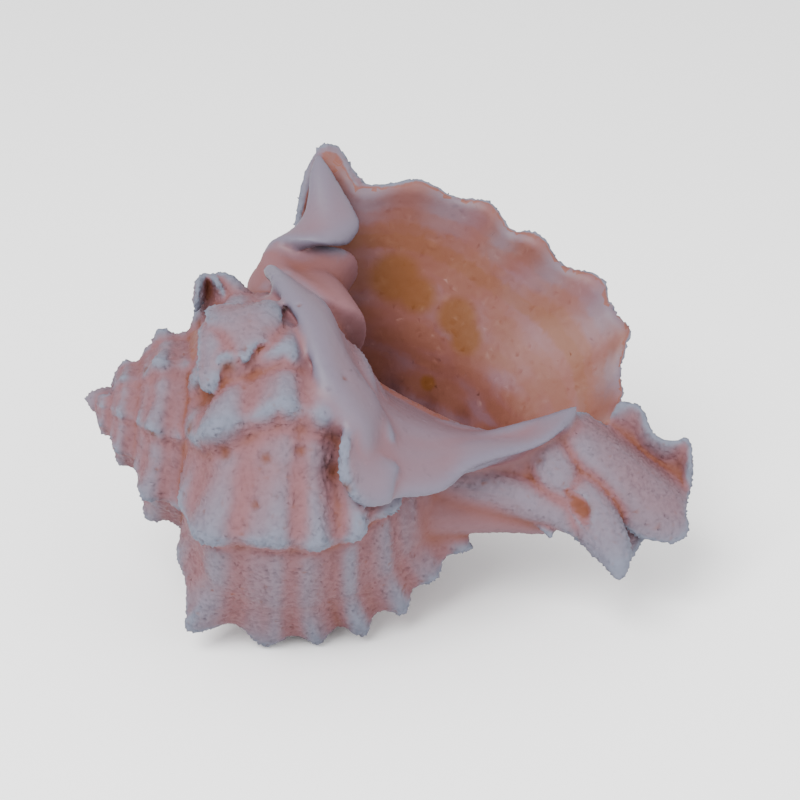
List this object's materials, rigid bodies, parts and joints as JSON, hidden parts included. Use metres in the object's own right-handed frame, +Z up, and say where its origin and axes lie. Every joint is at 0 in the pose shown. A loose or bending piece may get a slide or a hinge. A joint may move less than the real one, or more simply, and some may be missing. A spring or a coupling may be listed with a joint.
{
  "type": "murex shell",
  "caption": "Spiny murex sea shell with varices, a low spire, a flared outer lip, a smooth callus shield and an open siphonal canal.",
  "frame": {"origin": "centre of the bounding box's base, on the surface that the shell lies on", "axes": "+X along the shell's length, from the apex towards the end of the siphonal canal; +Z up, the side with the aperture; +Y towards the outer lip's shoulder spine"},
  "size_m": [0.1202, 0.0856, 0.0813],
  "materials": {
    "shell": "chalky, worn ridges over a smooth porcellaneous shield and aperture"
  },
  "bodies": {
    "root": {"shell": "shell"}
  },
  "joints": []
}
